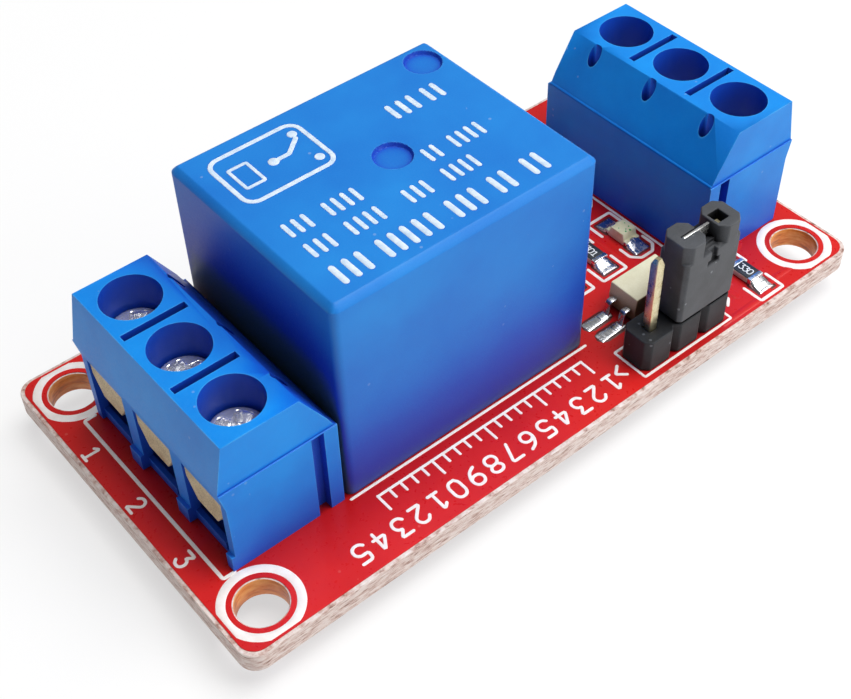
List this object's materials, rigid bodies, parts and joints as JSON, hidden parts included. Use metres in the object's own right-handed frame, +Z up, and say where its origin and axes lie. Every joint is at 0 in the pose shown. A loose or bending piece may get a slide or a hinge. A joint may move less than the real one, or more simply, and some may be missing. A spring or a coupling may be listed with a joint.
{
  "type": "relay module board",
  "caption": "Small red circuit board with a sealed blue relay between an output and an input screw terminal block, a pin header with a slide-on jumper, and small chip parts beside it.",
  "frame": {"origin": "centre of the four mounting holes, on the underside of the board", "axes": "+X along the board from the output block to the input block, +Y across it away from the jumper, +Z up out of the component side"},
  "size_m": [0.05, 0.026, 0.0189],
  "materials": {
    "board_core": "satin",
    "red_coat": "gloss",
    "white_ink": "matte",
    "solder": "satin",
    "relay_blue": "gloss",
    "relay_base_plastic": "matte",
    "spool_plastic": "matte",
    "copper_wire": "satin",
    "soft_iron": "satin",
    "contact_strip": "satin",
    "contact_silver": "satin",
    "block_blue": "satin",
    "screw_metal": "gloss",
    "clamp_metal": "matte",
    "header_black": "matte",
    "pin_metal": "satin",
    "jumper_black": "satin",
    "clip_metal": "satin",
    "ivory_plastic": "satin",
    "led_plastic": "gloss",
    "chip_black": "satin",
    "body_black": "satin"
  },
  "bodies": {
    "board": {"circuit_board": "board_core", "colour_coat": "red_coat", "white_print": "white_ink", "chip_solder": "solder", "pin_solder": "solder", "relay_base": "relay_base_plastic", "relay_cover": "relay_blue", "relay_marking": "white_ink", "relay_spool": "spool_plastic", "relay_winding": "copper_wire", "relay_core": "soft_iron", "relay_yoke": "soft_iron", "relay_open_contact": "contact_strip", "relay_closed_contact": "contact_strip", "relay_contact_heads": "contact_silver", "relay_common_pin": "contact_strip", "relay_coil_pins": "contact_strip", "output_housing": "block_blue", "output_contact_1": "clamp_metal", "output_contact_2": "clamp_metal", "output_contact_3": "clamp_metal", "input_housing": "block_blue", "input_contact_1": "clamp_metal", "input_contact_2": "clamp_metal", "input_contact_3": "clamp_metal", "header_strip": "header_black", "header_pin_1": "pin_metal", "header_pin_2": "pin_metal", "header_pin_3": "pin_metal", "optocoupler_body": "ivory_plastic", "optocoupler_leads": "solder", "power_led": "led_plastic", "status_led": "led_plastic", "resistor_1": "chip_black", "resistor_2": "chip_black", "resistor_3": "chip_black", "resistor_4": "chip_black", "resistor_5": "chip_black", "transistor_body": "body_black", "transistor_leads": "solder", "flyback_diode": "body_black"},
    "output_screw_1": {"output_screw_1": "screw_metal"},
    "output_clamp_1": {"output_clamp_1": "clamp_metal"},
    "output_screw_2": {"output_screw_2": "screw_metal"},
    "output_clamp_2": {"output_clamp_2": "clamp_metal"},
    "output_screw_3": {"output_screw_3": "screw_metal"},
    "output_clamp_3": {"output_clamp_3": "clamp_metal"},
    "input_screw_1": {"input_screw_1": "screw_metal"},
    "input_clamp_1": {"input_clamp_1": "clamp_metal"},
    "input_screw_2": {"input_screw_2": "screw_metal"},
    "input_clamp_2": {"input_clamp_2": "clamp_metal"},
    "input_screw_3": {"input_screw_3": "screw_metal"},
    "input_clamp_3": {"input_clamp_3": "clamp_metal"},
    "relay_armature": {"relay_armature": "soft_iron", "relay_spring": "contact_strip", "relay_moving_contact": "contact_silver"},
    "jumper": {"jumper_cap": "jumper_black", "jumper_clip": "clip_metal"}
  },
  "joints": [
    {"name": "output_screw_1_turn", "type": "hinge", "parent": "board", "child": "output_screw_1", "pos_m": [-0.0192, 0.00508, 0.0066], "axis": [0, 0, 1], "range_deg": [0, 975]},
    {"name": "output_clamp_1_slide", "type": "slide", "parent": "board", "child": "output_clamp_1", "axis": [0, 0, -1], "range_m": [0, 0.00135]},
    {"name": "output_screw_2_turn", "type": "hinge", "parent": "board", "child": "output_screw_2", "pos_m": [-0.0192, 0, 0.0066], "axis": [0, 0, 1], "range_deg": [0, 975]},
    {"name": "output_clamp_2_slide", "type": "slide", "parent": "board", "child": "output_clamp_2", "axis": [0, 0, -1], "range_m": [0, 0.00135]},
    {"name": "output_screw_3_turn", "type": "hinge", "parent": "board", "child": "output_screw_3", "pos_m": [-0.0192, -0.00508, 0.0066], "axis": [0, 0, 1], "range_deg": [0, 975]},
    {"name": "output_clamp_3_slide", "type": "slide", "parent": "board", "child": "output_clamp_3", "axis": [0, 0, -1], "range_m": [0, 0.00135]},
    {"name": "input_screw_1_turn", "type": "hinge", "parent": "board", "child": "input_screw_1", "pos_m": [0.02035, -0.00508, 0.0066], "axis": [0, 0, 1], "range_deg": [0, 975]},
    {"name": "input_clamp_1_slide", "type": "slide", "parent": "board", "child": "input_clamp_1", "axis": [0, 0, -1], "range_m": [0, 0.00135]},
    {"name": "input_screw_2_turn", "type": "hinge", "parent": "board", "child": "input_screw_2", "pos_m": [0.02035, 0, 0.0066], "axis": [0, 0, 1], "range_deg": [0, 975]},
    {"name": "input_clamp_2_slide", "type": "slide", "parent": "board", "child": "input_clamp_2", "axis": [0, 0, -1], "range_m": [0, 0.00135]},
    {"name": "input_screw_3_turn", "type": "hinge", "parent": "board", "child": "input_screw_3", "pos_m": [0.02035, 0.00508, 0.0066], "axis": [0, 0, 1], "range_deg": [0, 975]},
    {"name": "input_clamp_3_slide", "type": "slide", "parent": "board", "child": "input_clamp_3", "axis": [0, 0, -1], "range_m": [0, 0.00135]},
    {"name": "relay_armature_pull", "type": "hinge", "parent": "board", "child": "relay_armature", "pos_m": [0.0029, 0, 0.0125], "axis": [0, -1, 0], "range_deg": [0, 2.5], "stiffness_Nm_per_rad": 0.04, "springref_deg": -5.73},
    {"name": "jumper_pull", "type": "slide", "parent": "board", "child": "jumper", "axis": [0, 0, 1], "range_m": [0, 0.007]}
  ],
  "couplings": [
    {"joint": "output_screw_1_turn", "follows": "output_clamp_1_slide", "rad_per_m": 12566},
    {"joint": "output_screw_2_turn", "follows": "output_clamp_2_slide", "rad_per_m": 12566},
    {"joint": "output_screw_3_turn", "follows": "output_clamp_3_slide", "rad_per_m": 12566},
    {"joint": "input_screw_1_turn", "follows": "input_clamp_1_slide", "rad_per_m": 12566},
    {"joint": "input_screw_2_turn", "follows": "input_clamp_2_slide", "rad_per_m": 12566},
    {"joint": "input_screw_3_turn", "follows": "input_clamp_3_slide", "rad_per_m": 12566}
  ]
}
